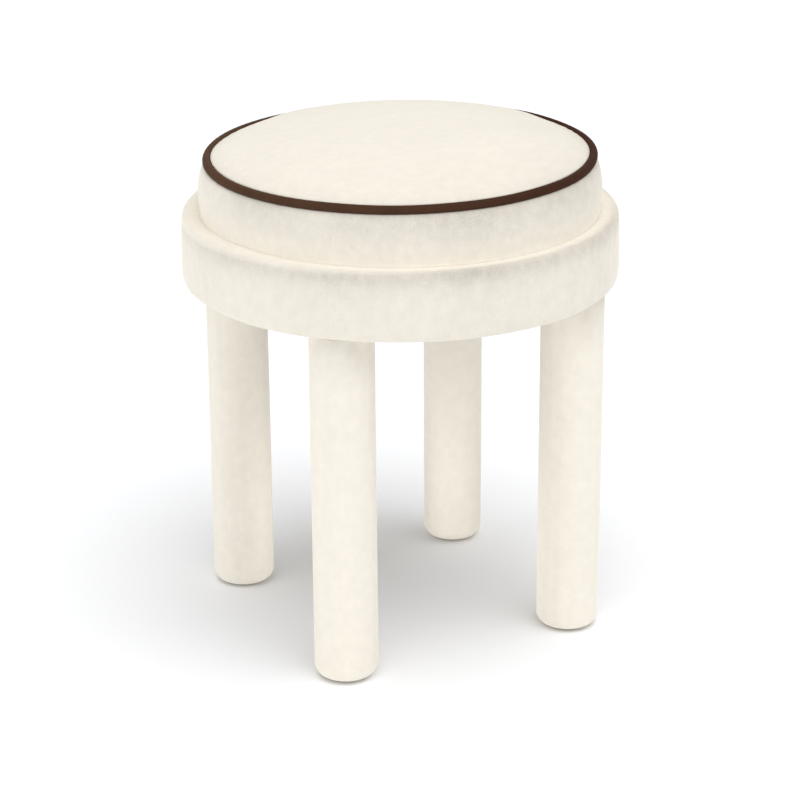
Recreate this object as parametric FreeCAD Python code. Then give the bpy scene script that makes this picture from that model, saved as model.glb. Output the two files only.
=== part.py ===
import FreeCAD, Part
import math
import os

from FreeCAD import Vector

# A round upholstered stool on four padded legs. Millimetres and degrees.
# The origin is on the floor under the middle of the seat, +Z is up and -Y is the front.

# Legs
leg_diameter = 58.0
leg_height = 331.0
leg_setback = 7.0
foot_edge_radius = 10.0
head_edge_radius = 2.0
leg_wadding_thickness = 3.0
leg_hem_width = 15.0
leg_bearings = {"back_right": 45.0, "back_left": 135.0, "front_left": 225.0, "front_right": 315.0}

# Glides under the feet
glide_stand = 2.0
glide_diameter = 34.0
glide_edge_chamfer = 0.8
glide_boss_gap = 1.0

# Drum
drum_diameter = 400.0
drum_height = 63.0
drum_top_edge_radius = 8.0
drum_bottom_edge_radius = 9.0
drum_foam_thickness = 10.0
drum_top_hem_width = 50.0
rim_hoop_thickness = 3.0
top_board_thickness = 12.0
base_ring_thickness = 15.0
base_ring_hem_landing = 16.0

# Spacer blocks between the two boards of the drum
block_count = 8
block_length = 40.0
block_width = 30.0
block_screw_offset = 8.0

# Dust cover under the drum
dust_cover_thickness = 0.8
dust_cover_leg_gap = 3.0
dust_cover_lap = 14.0

# Seat cushion
ledge_width = 20.0
band_bulge = 5.8
band_hem_width = 30.0
seat_board_thickness = 12.0
seat_board_margin = 10.0
seat_wadding_thickness = 4.0
crown_height = 24.5
crown_shoulder_radius = 50.0
crown_seam_slope = 41.0

# Piping round the top of the cushion, with the bearings in its section where the panels meet it
piping_diameter = 8.0
piping_rise = 49.5
piping_setback = 5.0
piping_cover_thickness = 0.9
seam_allowance = 8.0
crown_seam_bearing = 140.0
band_seam_bearing = 305.0

# Cloth and clearances
fabric_thickness = 1.6
soft_gap = 0.2
wood_gap = 0.2
least_edge_radius = 0.4

# Staples
staple_width = 10.0
staple_leg = 8.0
staple_wire_width = 1.2
staple_wire_thickness = 0.6
staple_spacing = 50.0
staple_hem_inset = 6.0
leg_staple_count = 6
leg_staple_inset = 6.0

# Screws
screw_diameter = 4.0
screw_head_diameter = 8.0
screw_head_height = 2.4
screw_tip = 4.0
screw_bite = 14.0
glide_screw_bite = 22.0
glide_screw_recess = 0.6
seat_screw_count = 4
seat_screw_bite = 9.0
seat_screw_inset = 17.0

# Bolts and nuts that hold the legs
bolt_diameter = 8.0
bolt_bite = 40.0
bolt_tip = 6.0
bolt_chamfer = 1.0
bolt_hem_gap = 1.0
thread_gap = 0.1
nut_barrel_diameter = 10.0
nut_barrel_length = 11.0
nut_flange_diameter = 22.0
nut_flange_thickness = 1.4
nut_prong_count = 3
nut_prong_length = 6.0
nut_prong_width = 3.0

# Heights, from the floor up
leg_top = glide_stand + leg_height
drum_bottom = leg_top
drum_top = drum_bottom + drum_height
base_ring_bottom = drum_bottom + fabric_thickness
base_ring_top = base_ring_bottom + base_ring_thickness
top_board_top = drum_top - fabric_thickness
top_board_bottom = top_board_top - top_board_thickness
seat_board_bottom = drum_top + fabric_thickness
seat_board_top = seat_board_bottom + seat_board_thickness
leg_core_top = leg_top - fabric_thickness

# Layers of a leg, as distances in from the outside of its cover
leg_wadding_inset = fabric_thickness + soft_gap
leg_core_inset = leg_wadding_inset + leg_wadding_thickness + soft_gap
leg_core_bottom = glide_stand + leg_core_inset

# Radii of the legs and the drum
leg_radius = leg_diameter / 2
leg_hem_radius = leg_radius - leg_hem_width
drum_radius = drum_diameter / 2
leg_circle_radius = drum_radius - leg_setback - leg_radius
drum_foam_inset = fabric_thickness + soft_gap
rim_hoop_radius = drum_radius - drum_foam_inset - drum_foam_thickness - soft_gap
board_radius = rim_hoop_radius - rim_hoop_thickness - wood_gap
top_hem_radius = drum_radius - drum_top_hem_width
dust_cover_radius = leg_circle_radius - leg_radius - dust_cover_leg_gap
bottom_hem_radius = dust_cover_radius - dust_cover_lap
base_opening_radius = bottom_hem_radius - base_ring_hem_landing
block_circle_radius = (base_opening_radius + board_radius) / 2
top_staple_radius = top_hem_radius + staple_hem_inset
bottom_staple_radius = bottom_hem_radius + dust_cover_lap / 2
seat_screw_radius = base_opening_radius - seat_screw_inset

# Radii and layers of the cushion
crease_radius = drum_radius - ledge_width
band_hem_radius = crease_radius - band_hem_width
seat_board_radius = crease_radius - seat_board_margin
seat_staple_radius = band_hem_radius + staple_hem_inset
seat_wadding_inset = fabric_thickness + soft_gap
seat_foam_inset = seat_wadding_inset + seat_wadding_thickness + soft_gap
piping_radius = piping_diameter / 2
piping_ring_radius = crease_radius - piping_setback

# Turning axis of the stool
axis_foot = Vector(0, 0, 0)
axis_up = Vector(0, 0, 1)


# Sections and solids of revolution

def point(radius, height):
    """Point of a section: its distance from the upright axis and its height."""
    return Vector(radius, 0, height)


def on_circle(centre, radius, bearing):
    """Point of a section at a bearing from a centre, counted from outwards towards up."""
    angle = math.radians(bearing)
    return centre + point(radius * math.cos(angle), radius * math.sin(angle))


def bearing_of(place, centre):
    """Bearing of a point of a section, seen from a centre."""
    offset = place - centre
    return math.degrees(math.atan2(offset.z, offset.x))


def turn(centre, radius, start, end):
    """Arc of a section, as the two points that follow the point where it starts."""
    middle = on_circle(centre, radius, (start + end) / 2)
    return middle, on_circle(centre, radius, end)


def spin(start, *steps):
    """Solid turned from a closed section, whose steps are corners and arcs."""
    edges = []
    here = start
    for step in (*steps, start):
        if isinstance(step, tuple):
            middle, there = step
            edges.append(Part.Arc(here, middle, there).toShape())
        else:
            there = step
            edges.append(Part.LineSegment(here, there).toShape())
        here = there
    section = Part.Face(Part.Wire(edges))
    return section.revolve(axis_foot, axis_up, 360)


def cylinder(radius, bottom, top):
    """Upright cylinder about the axis."""
    return Part.makeCylinder(radius, top - bottom, point(0, bottom))


def inner_edge(edge_radius, inset):
    """Radius of a rounded edge, seen from a layer further in."""
    return max(edge_radius - inset, least_edge_radius)


# Places of repeated pieces

def at_bearing(shape, radius, bearing):
    """Copy of a shape, moved out from the axis and turned to a bearing."""
    placed = shape.copy()
    placed.translate(point(radius, 0))
    placed.rotate(axis_foot, axis_up, bearing)
    return placed


def around(shape, radius, count, first_bearing=0.0):
    """Copies of a shape, evenly spaced on a circle about the axis."""
    step = 360 / count
    return [at_bearing(shape, radius, first_bearing + step * number) for number in range(count)]


def at_legs(shape):
    """Copies of a shape on the four leg axes."""
    return [at_bearing(shape, leg_circle_radius, bearing) for bearing in leg_bearings.values()]


def driven_up(fastener, face_height):
    """Fastener that points up from a face."""
    placed = fastener.copy()
    placed.translate(point(0, face_height))
    return placed


def driven_down(fastener, face_height):
    """Fastener that points down from a face."""
    placed = fastener.copy()
    placed.rotate(axis_foot, Vector(1, 0, 0), 180)
    placed.translate(point(0, face_height))
    return placed


# Staples and screws, made with the outer face at height zero and the point upwards

def staple():
    """Upholstery staple, with its back along the circle that it sits on."""
    corner = Vector(-staple_wire_width / 2, -staple_width / 2, 0)
    back = Part.makeBox(staple_wire_width, staple_width, staple_wire_thickness, corner)
    near_leg = Part.makeBox(staple_wire_width, staple_wire_thickness, staple_leg, corner)
    far_leg = near_leg.copy()
    far_leg.translate(Vector(0, staple_width - staple_wire_thickness, 0))
    return back.fuse([near_leg, far_leg]).removeSplitter()


def screw(length):
    """Countersunk wood screw."""
    shank_radius = screw_diameter / 2
    return spin(
        point(0, 0),
        point(screw_head_diameter / 2, 0),
        point(shank_radius, screw_head_height),
        point(shank_radius, length - screw_tip),
        point(0, length),
    )


def staples_around(radius, face_height, drive, half_step=False):
    """Ring of staples at about the named spacing, in fours so that the stool stays even."""
    quarter_count = round(2 * math.pi * radius / staple_spacing / 4)
    count = 4 * max(quarter_count, 1)
    first_bearing = 180 / count if half_step else 0.0
    return around(drive(staple(), face_height), radius, count, first_bearing)


# Bolts and nuts, made on the upright axis at their own height

def hanger_bolt():
    """Bolt with a wood thread in the leg and a machine thread in the nut."""
    radius = bolt_diameter / 2
    bottom = leg_core_top - bolt_bite
    return spin(
        point(0, bottom),
        point(radius, bottom + bolt_tip),
        point(radius, base_ring_top - bolt_chamfer),
        point(radius - bolt_chamfer, base_ring_top),
        point(0, base_ring_top),
    )


def tee_nut():
    """Flanged nut with prongs, pressed into the base ring from above."""
    flange_top = base_ring_top + nut_flange_thickness
    flange = cylinder(nut_flange_diameter / 2, base_ring_top, flange_top)
    barrel = cylinder(nut_barrel_diameter / 2, base_ring_top - nut_barrel_length, flange_top)
    prong = Part.makeBox(nut_flange_thickness, nut_prong_width, nut_prong_length)
    prong.translate(Vector(-nut_flange_thickness, -nut_prong_width / 2, base_ring_top - nut_prong_length))
    prongs = around(prong, nut_flange_diameter / 2 - nut_flange_thickness, nut_prong_count)
    bore = cylinder(bolt_diameter / 2 + thread_gap, base_ring_bottom, flange_top)
    return flange.fuse([barrel, *prongs]).removeSplitter().cut(bore)


# Legs, made on the upright axis

def leg_body(inset, top):
    """Solid leg with a rounded foot, as far in from the cover's outside as the inset."""
    radius = leg_radius - inset
    bottom = glide_stand + inset
    foot_edge = inner_edge(foot_edge_radius, inset)
    head_edge = inner_edge(head_edge_radius, inset)
    return spin(
        point(0, bottom),
        point(radius - foot_edge, bottom),
        turn(point(radius - foot_edge, bottom + foot_edge), foot_edge, -90, 0),
        point(radius, top - head_edge),
        turn(point(radius - head_edge, top - head_edge), head_edge, 0, 90),
        point(0, top),
    )


def leg_cover():
    """Velvet sleeve, turned in under the glide and over the top of the leg."""
    inside = leg_body(fabric_thickness, leg_core_top)
    hem_opening = cylinder(leg_hem_radius, 0, leg_top)
    return leg_body(0, leg_top).cut([inside, hem_opening])


def leg_wadding():
    """Thin foam sleeve, closed under the foot as far as the glide's boss."""
    inside = leg_body(leg_wadding_inset + leg_wadding_thickness, leg_core_top)
    hem_opening = cylinder(leg_hem_radius, 0, leg_core_bottom)
    return leg_body(leg_wadding_inset, leg_core_top).cut([inside, hem_opening])


def leg_core():
    """Turned wood leg."""
    return leg_body(leg_core_inset, leg_core_top)


def leg_glide():
    """Plastic glide, with a boss that passes the hem and meets the wood."""
    radius = glide_diameter / 2
    boss_radius = leg_hem_radius - glide_boss_gap
    return spin(
        point(0, 0),
        point(radius - glide_edge_chamfer, 0),
        point(radius, glide_edge_chamfer),
        point(radius, glide_stand),
        point(boss_radius, glide_stand),
        point(boss_radius, leg_core_bottom),
        point(0, leg_core_bottom),
    )


# Drum

def drum_body(inset):
    """Solid drum with rounded edges, as far in from the cover's outside as the inset."""
    radius = drum_radius - inset
    bottom = drum_bottom + inset
    top = drum_top - inset
    low_edge = inner_edge(drum_bottom_edge_radius, inset)
    high_edge = inner_edge(drum_top_edge_radius, inset)
    return spin(
        point(0, bottom),
        point(radius - low_edge, bottom),
        turn(point(radius - low_edge, bottom + low_edge), low_edge, -90, 0),
        point(radius, top - high_edge),
        turn(point(radius - high_edge, top - high_edge), high_edge, 0, 90),
        point(0, top),
    )


def drum_cover():
    """Velvet cover, turned over the top board and under the base ring."""
    top_opening = cylinder(top_hem_radius, top_board_bottom, drum_top)
    bottom_opening = cylinder(bottom_hem_radius, drum_bottom, base_ring_top)
    bolt_hole = cylinder(bolt_diameter / 2 + bolt_hem_gap, drum_bottom, base_ring_top)
    inside = drum_body(fabric_thickness)
    return drum_body(0).cut([inside, top_opening, bottom_opening, *at_legs(bolt_hole)])


def drum_foam():
    """Foam wrap between the hoop and the cover."""
    core = cylinder(rim_hoop_radius + soft_gap, drum_bottom, drum_top)
    return drum_body(drum_foam_inset).cut(core)


def rim_hoop():
    """Bent plywood hoop round both boards."""
    core = cylinder(rim_hoop_radius - rim_hoop_thickness, base_ring_bottom, top_board_top)
    return cylinder(rim_hoop_radius, base_ring_bottom, top_board_top).cut(core)


def base_ring():
    """Plywood ring that carries the legs, with an opening to reach the seat screws."""
    opening = cylinder(base_opening_radius, base_ring_bottom, base_ring_top)
    barrel_hole = cylinder(nut_barrel_diameter / 2, base_ring_bottom, base_ring_top)
    ring = cylinder(board_radius, base_ring_bottom, base_ring_top)
    return ring.cut([opening, *at_legs(barrel_hole)])


def block_ring(shape):
    """Copies of a shape at the spacer blocks, which stand clear of the leg axes."""
    return around(shape, block_circle_radius, block_count, 180 / block_count)


def spacer_block():
    """Wood block between the two boards."""
    height = top_board_bottom - base_ring_top
    corner = Vector(-block_length / 2, -block_width / 2, base_ring_top)
    return Part.makeBox(block_length, block_width, height, corner)


def lower_block_screw():
    """Screw through the base ring into a block, nearer to the rim."""
    placed = driven_up(screw(base_ring_thickness + screw_bite), base_ring_bottom)
    placed.translate(point(block_screw_offset, 0))
    return placed


def upper_block_screw():
    """Screw through the top board into a block, nearer to the middle."""
    placed = driven_down(screw(top_board_thickness + screw_bite), top_board_top)
    placed.translate(point(-block_screw_offset, 0))
    return placed


# Seat cushion, whose section is one arc for the band and two arcs for the crown

crease = point(crease_radius, drum_top)
piping_centre = point(piping_ring_radius, drum_top + piping_rise)
band_seam = on_circle(piping_centre, piping_radius + soft_gap, band_seam_bearing)
crown_seam = on_circle(piping_centre, piping_radius + soft_gap, crown_seam_bearing)

band_chord = band_seam - crease
band_half_chord = band_chord.Length / 2
band_radius = (band_half_chord ** 2 + band_bulge ** 2) / (2 * band_bulge)
band_outward = point(band_chord.z, -band_chord.x).normalize()
band_centre = (crease + band_seam) / 2 - band_outward * (band_radius - band_bulge)
band_top_bearing = bearing_of(band_seam, band_centre)

crown_apex_height = piping_centre.z + crown_height
shoulder_end_bearing = 90 - crown_seam_slope
shoulder_centre = on_circle(crown_seam, crown_shoulder_radius, shoulder_end_bearing + 180)
shoulder_drop = shoulder_centre.z - crown_apex_height
crown_radius = (crown_shoulder_radius ** 2 - shoulder_centre.x ** 2 - shoulder_drop ** 2) / (
    2 * (shoulder_drop + crown_shoulder_radius)
)
crown_centre = point(0, crown_apex_height - crown_radius)
shoulder_start_bearing = bearing_of(shoulder_centre, crown_centre)


def band_place(height, inset):
    """Point of the band's section at a height, as far in from its outside as the inset."""
    rise = height - band_centre.z
    return point(band_centre.x + math.sqrt((band_radius - inset) ** 2 - rise ** 2), height)


def band_arc_up(start, inset):
    """Arc of the band's section from a point near its foot to the seam."""
    return turn(band_centre, band_radius - inset, bearing_of(start, band_centre), band_top_bearing)


def crown_arcs_up(inset):
    """Arcs of the crown's section from the seam to the apex."""
    shoulder = turn(
        shoulder_centre, crown_shoulder_radius - inset, shoulder_end_bearing, shoulder_start_bearing
    )
    middle = turn(crown_centre, crown_radius - inset, shoulder_start_bearing, 90)
    return shoulder, middle


def cushion_body(inset):
    """Solid cushion above the band's hem, as far in from the covers' outside as the inset."""
    foot = band_place(seat_board_bottom, inset)
    crown_edge = on_circle(shoulder_centre, crown_shoulder_radius - inset, shoulder_end_bearing)
    return spin(
        point(0, seat_board_bottom),
        foot,
        band_arc_up(foot, inset),
        crown_edge,
        *crown_arcs_up(inset),
    )


def seat_top_panel():
    """Crowned velvet top, from the piping to the middle."""
    crown_edge_inside = on_circle(crown_seam, fabric_thickness, shoulder_end_bearing + 180)
    shoulder_down = turn(
        shoulder_centre, crown_shoulder_radius, shoulder_start_bearing, shoulder_end_bearing
    )
    middle_down = turn(crown_centre, crown_radius, 90, shoulder_start_bearing)
    return spin(
        point(0, crown_apex_height),
        middle_down,
        shoulder_down,
        crown_edge_inside,
        *crown_arcs_up(fabric_thickness),
    )


def seat_side_band():
    """Velvet band that bulges between the piping and the drum, with its hem under the board."""
    hem_top = band_place(seat_board_bottom, fabric_thickness)
    band_down = turn(band_centre, band_radius, band_top_bearing, bearing_of(crease, band_centre))
    return spin(
        band_seam,
        band_down,
        point(band_hem_radius, drum_top),
        point(band_hem_radius, seat_board_bottom),
        hem_top,
        band_arc_up(hem_top, fabric_thickness),
    )


def seam_flange(half_thickness, length):
    """Ring of the sewing flange, which points into the cushion between the two panels."""
    inwards = (crown_seam_bearing + band_seam_bearing) / 2
    root = on_circle(piping_centre, piping_radius - piping_cover_thickness / 2, inwards)
    tip = on_circle(piping_centre, piping_radius + length, inwards)
    return spin(
        on_circle(root, half_thickness, inwards - 90),
        on_circle(tip, half_thickness, inwards - 90),
        on_circle(tip, half_thickness, inwards + 90),
        on_circle(root, half_thickness, inwards + 90),
    )


def piping_ring(radius):
    """Solid ring on the piping's centre line."""
    return Part.makeTorus(piping_ring_radius, radius, point(0, piping_centre.z))


def piping_cover():
    """Fabric tube round the cord, with its doubled sewing flange."""
    cord_room = piping_ring(piping_radius - piping_cover_thickness)
    tube = piping_ring(piping_radius)
    return tube.fuse(seam_flange(piping_cover_thickness, seam_allowance)).cut(cord_room)


def piping_cord():
    """Filler cord inside the piping."""
    return piping_ring(piping_radius - piping_cover_thickness - soft_gap)


def piping_room(flange_length):
    """Space that the soft layers leave for the piping and its flange."""
    flange_room = seam_flange(piping_cover_thickness + soft_gap, flange_length + soft_gap)
    return [piping_ring(piping_radius + soft_gap), flange_room]


def seat_waddings():
    """Side and top wrap, parted by the sewing flange."""
    inside = cushion_body(seat_wadding_inset + seat_wadding_thickness)
    parting_length = seam_allowance + fabric_thickness + seat_wadding_thickness
    wrap = cushion_body(seat_wadding_inset).cut([inside, *piping_room(parting_length)])
    return sorted(wrap.Solids, key=lambda solid: solid.CenterOfMass.z)


def seat_foam():
    """Crowned foam block, with a skirt round the edge of the board."""
    board_room = cylinder(seat_board_radius + soft_gap, seat_board_bottom, seat_board_top)
    return cushion_body(seat_foam_inset).cut([board_room, *piping_room(seam_allowance)])


# Fasteners in place

seat_staples = staples_around(seat_staple_radius, drum_top, driven_up)
drum_top_staples = staples_around(top_staple_radius, drum_top, driven_down)
drum_bottom_staples = staples_around(bottom_staple_radius, drum_bottom, driven_up)
dust_cover_bottom = drum_bottom - dust_cover_thickness
dust_cover_staples = staples_around(bottom_staple_radius, dust_cover_bottom, driven_up, half_step=True)
leg_staple = driven_down(staple(), leg_top)
leg_staple_ring = around(leg_staple, leg_hem_radius + leg_staple_inset, leg_staple_count)

lower_screws = block_ring(lower_block_screw())
upper_screws = block_ring(upper_block_screw())
seat_screw_length = seat_board_bottom - top_board_bottom + seat_screw_bite
seat_screw = driven_up(screw(seat_screw_length), top_board_bottom)
seat_screws = around(seat_screw, seat_screw_radius, seat_screw_count)
glide_screw = driven_up(screw(leg_core_bottom + glide_screw_bite), glide_screw_recess)
glide_screw_access = cylinder(screw_head_diameter / 2, 0, glide_screw_recess)

tee_nuts = at_legs(tee_nut())

# Pieces, each with the holes that its fasteners need

pieces = {}

leg_pieces = {
    "leg_cover": leg_cover().cut(leg_staple_ring),
    "leg_wadding": leg_wadding(),
    "leg_core": leg_core().cut([hanger_bolt(), glide_screw, *leg_staple_ring]),
    "leg_glide": leg_glide().cut([glide_screw, glide_screw_access]),
}
for leg_name, leg_bearing in leg_bearings.items():
    for piece_name, piece in leg_pieces.items():
        pieces[f"{piece_name}_{leg_name}"] = at_bearing(piece, leg_circle_radius, leg_bearing)

pieces["hanger_bolts"] = Part.makeCompound(at_legs(hanger_bolt()))
pieces["tee_nuts"] = Part.makeCompound(tee_nuts)
pieces["glide_screws"] = Part.makeCompound(at_legs(glide_screw))
pieces["leg_staples"] = Part.makeCompound(
    [placed for one_staple in leg_staple_ring for placed in at_legs(one_staple)]
)

pieces["base_ring"] = base_ring().cut(
    [*tee_nuts, *lower_screws, *drum_bottom_staples, *dust_cover_staples]
)
pieces["top_board"] = cylinder(board_radius, top_board_bottom, top_board_top).cut(
    [*upper_screws, *seat_screws, *drum_top_staples]
)
drilled_block = spacer_block().cut([lower_block_screw(), upper_block_screw()])
for block_number, block in enumerate(block_ring(drilled_block), start=1):
    pieces[f"spacer_block_{block_number}"] = block
pieces["rim_hoop"] = rim_hoop()
pieces["drum_foam"] = drum_foam()
pieces["drum_cover"] = drum_cover().cut(
    [*drum_top_staples, *drum_bottom_staples, *dust_cover_staples]
)
pieces["dust_cover"] = cylinder(dust_cover_radius, dust_cover_bottom, drum_bottom).cut(
    dust_cover_staples
)
pieces["frame_screws"] = Part.makeCompound(lower_screws + upper_screws)
pieces["drum_top_staples"] = Part.makeCompound(drum_top_staples)
pieces["drum_bottom_staples"] = Part.makeCompound(drum_bottom_staples)
pieces["dust_cover_staples"] = Part.makeCompound(dust_cover_staples)

seat_board = cylinder(seat_board_radius, seat_board_bottom, seat_board_top)
pieces["seat_board"] = seat_board.cut([*seat_screws, *seat_staples])
pieces["seat_foam"] = seat_foam()
pieces["seat_side_wadding"], pieces["seat_top_wadding"] = seat_waddings()
pieces["seat_top_panel"] = seat_top_panel()
pieces["seat_side_band"] = seat_side_band().cut(seat_staples)
pieces["piping_cover"] = piping_cover()
pieces["piping_cord"] = piping_cord()
pieces["seat_screws"] = Part.makeCompound(seat_screws)
pieces["seat_staples"] = Part.makeCompound(seat_staples)

os.makedirs("parts", exist_ok=True)
for node_name, shape in pieces.items():
    shape.exportStep(f"parts/{node_name}.step")
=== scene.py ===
import math

import bmesh
import bpy
import numpy as np
from mathutils import Matrix, Vector


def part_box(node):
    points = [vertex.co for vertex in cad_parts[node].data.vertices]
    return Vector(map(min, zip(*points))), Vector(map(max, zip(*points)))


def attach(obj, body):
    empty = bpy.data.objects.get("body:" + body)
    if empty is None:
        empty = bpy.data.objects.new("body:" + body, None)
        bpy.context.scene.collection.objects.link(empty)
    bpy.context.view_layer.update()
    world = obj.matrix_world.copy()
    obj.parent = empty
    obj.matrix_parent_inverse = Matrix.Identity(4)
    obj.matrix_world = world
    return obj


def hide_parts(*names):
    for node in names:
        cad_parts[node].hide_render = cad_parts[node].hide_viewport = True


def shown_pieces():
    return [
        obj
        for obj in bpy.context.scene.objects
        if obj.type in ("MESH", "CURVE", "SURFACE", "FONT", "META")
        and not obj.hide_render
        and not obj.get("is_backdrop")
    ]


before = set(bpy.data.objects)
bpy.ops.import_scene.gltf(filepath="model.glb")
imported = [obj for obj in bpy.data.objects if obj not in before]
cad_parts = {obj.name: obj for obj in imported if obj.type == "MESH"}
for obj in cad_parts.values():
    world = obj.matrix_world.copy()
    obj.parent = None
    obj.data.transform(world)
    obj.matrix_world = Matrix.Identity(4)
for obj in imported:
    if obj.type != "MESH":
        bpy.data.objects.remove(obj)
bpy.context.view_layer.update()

MM = 0.001

# Sizes read from the frame, in metres
drum_low, drum_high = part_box("drum_cover")
board_low, board_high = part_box("seat_board")
cord_low, cord_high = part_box("piping_cord")
dust_low, dust_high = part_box("dust_cover")
hoop_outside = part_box("rim_hoop")[1].x
crown_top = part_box("seat_top_panel")[1].z
drum_radius = drum_high.x
drum_bottom = drum_low.z
drum_top = drum_high.z
cord_radius = (cord_high.z - cord_low.z) / 2
cord_height = (cord_high.z + cord_low.z) / 2
cord_ring = cord_high.x - cord_radius
leg_names = ("back_right", "back_left", "front_left", "front_right")

# Layers
velvet_depth = 1.6 * MM
pipe_depth = 0.9 * MM
layer_gap = 0.2 * MM
seat_wadding_depth = 4.0 * MM
leg_wadding_depth = 3.0 * MM
dust_depth = dust_high.z - dust_low.z
pipe_radius = cord_radius + layer_gap + pipe_depth

# Bearings of what differs round the stool: the vertical seams at the back of every piece, the sides
# where the painted shade on the velvet and on the piping is darkest, the middle of the crown's fuller
# back, and the side on which the cushion stands higher, with how much
seam_bearing = math.radians(90.0)
darker_bearing = math.radians(286.0)
piping_darker_bearing = math.radians(345.0)
fuller_bearing = math.radians(61.5)
seat_lift_bearing = math.radians(338.0)
seat_lift = 1.6 * MM


# Lines of (radius, height) points. The stuffing is on the right of a line's direction.

def smooth_line(points, step):
    """Even points on a smooth line through the given ones."""
    points = np.asarray(points, float)
    along = np.r_[0.0, np.cumsum(np.linalg.norm(np.diff(points, axis=0), axis=1))]
    slope = np.gradient(points, along, axis=0)
    at = np.linspace(0.0, along[-1], max(2, round(along[-1] / step) + 1))
    first = np.clip(np.searchsorted(along, at, side="right") - 1, 0, len(along) - 2)
    width = (along[first + 1] - along[first])[:, None]
    t = (at - along[first])[:, None] / width
    start = (2 * t**3 - 3 * t**2 + 1) * points[first] + (t**3 - 2 * t**2 + t) * width * slope[first]
    end = (3 * t**2 - 2 * t**3) * points[first + 1] + (t**3 - t**2) * width * slope[first + 1]
    return start + end


def arc(radius, height, size, start, end, count):
    """Points on an arc about (radius, height), from a start to an end angle in degrees."""
    angle = np.radians(np.linspace(start, end, count))
    return np.c_[radius + size * np.cos(angle), height + size * np.sin(angle)]


def straight(start, end, step):
    """Even points on a straight line."""
    count = max(2, round(math.dist(start, end) / step) + 1)
    return np.linspace(start, end, count)


def joined(*lines):
    """Lines end to end, without doubled points."""
    line = np.concatenate(lines)
    apart = np.linalg.norm(np.diff(line, axis=0), axis=1) > 0.05 * MM
    return line[np.r_[True, apart]]


def outward(line):
    """Unit directions out of the stuffing, one for each point of a line."""
    along = np.gradient(line, axis=0)
    along /= np.linalg.norm(along, axis=1)[:, None]
    return np.c_[-along[:, 1], along[:, 0]]


def inset(line, depth):
    """The line moved into the stuffing."""
    moved = line - depth * outward(line)
    moved[:, 0] = np.where(line[:, 0] < 1e-6, 0.0, np.maximum(moved[:, 0], 0.0))
    return moved


def lengths(line):
    """Distance of each point along a line from its start."""
    return np.r_[0.0, np.cumsum(np.linalg.norm(np.diff(line, axis=0), axis=1))]


# Unevenness, as distances out of the stuffing or as tones, for each point of a line and each bearing

def bearings_round(count, radius, seam=None):
    """Bearings of a full turn, closer together at a seam."""
    even = np.linspace(0.0, 2 * math.pi, count, endpoint=False)
    if seam is None:
        return even
    near = seam + np.linspace(-5.0, 5.0, 21) * MM / radius
    even = even[np.abs(np.angle(np.exp(1j * (even - seam)))) > 6.0 * MM / radius]
    return np.sort(np.r_[even, near])


def seam_groove(bearings, radius, depth):
    """The dip of a vertical seam, with the cloth a little proud beside it."""
    dip_width, shoulder_place, shoulder_width, shoulder_share = 0.9, 2.4, 1.3, 0.3
    off = np.angle(np.exp(1j * (bearings - seam_bearing))) * radius / MM
    dip = np.exp(-(off / dip_width) ** 2)
    shoulder = np.exp(-((np.abs(off) - shoulder_place) / shoulder_width) ** 2)
    return depth * (shoulder_share * shoulder - dip)[None, :]


def unevenness(line, bearings, seed, lobes, reach):
    """Soft lumps between about -1 and 1, with up to so many lobes round the turn."""
    rng = np.random.default_rng(seed)
    along = lengths(line)[:, None]
    total = np.zeros((len(line), len(bearings)))
    for _ in range(9):
        turns = rng.integers(2, lobes + 1)
        phase = rng.uniform(0.0, 2 * math.pi)
        lean = rng.uniform(-1.0, 1.0) * 2 * math.pi / reach
        total += np.cos(turns * bearings[None, :] + phase + lean * along)
    return total / 4.0


def puckers(away, bearings, seed, count, reach):
    """Small gathers between -1 and 1 that die out with the distance from a sewn or stapled edge."""
    rng = np.random.default_rng(seed)
    phase = sum(rng.uniform(0.3, 0.9) * np.cos(k * bearings + rng.uniform(0, 6.28)) for k in (3, 7, 11, 17))
    strength = 0.65 + 0.35 * np.cos(5 * bearings + 2 * np.cos(3 * bearings + seed))
    return np.exp(-away / reach)[:, None] * (strength * np.cos(count * bearings + 2.2 * phase))[None, :]


def painted_shade_tone(line, bearings, away, *tones):
    """Painted shade: how much darker the velvet is drawn, from (distance, tone) pairs; below zero, lighter.

    It is stronger towards one side of the stool, and a little uneven all round.
    """
    places, values = zip(*tones)
    one_sided = 0.7 + 0.33 * np.cos(bearings - darker_bearing)
    patchy = 0.13 * unevenness(line, bearings, seed=61, lobes=12, reach=0.2)
    return np.interp(away, places, values) * (one_sided + patchy)


# Meshes

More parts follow.
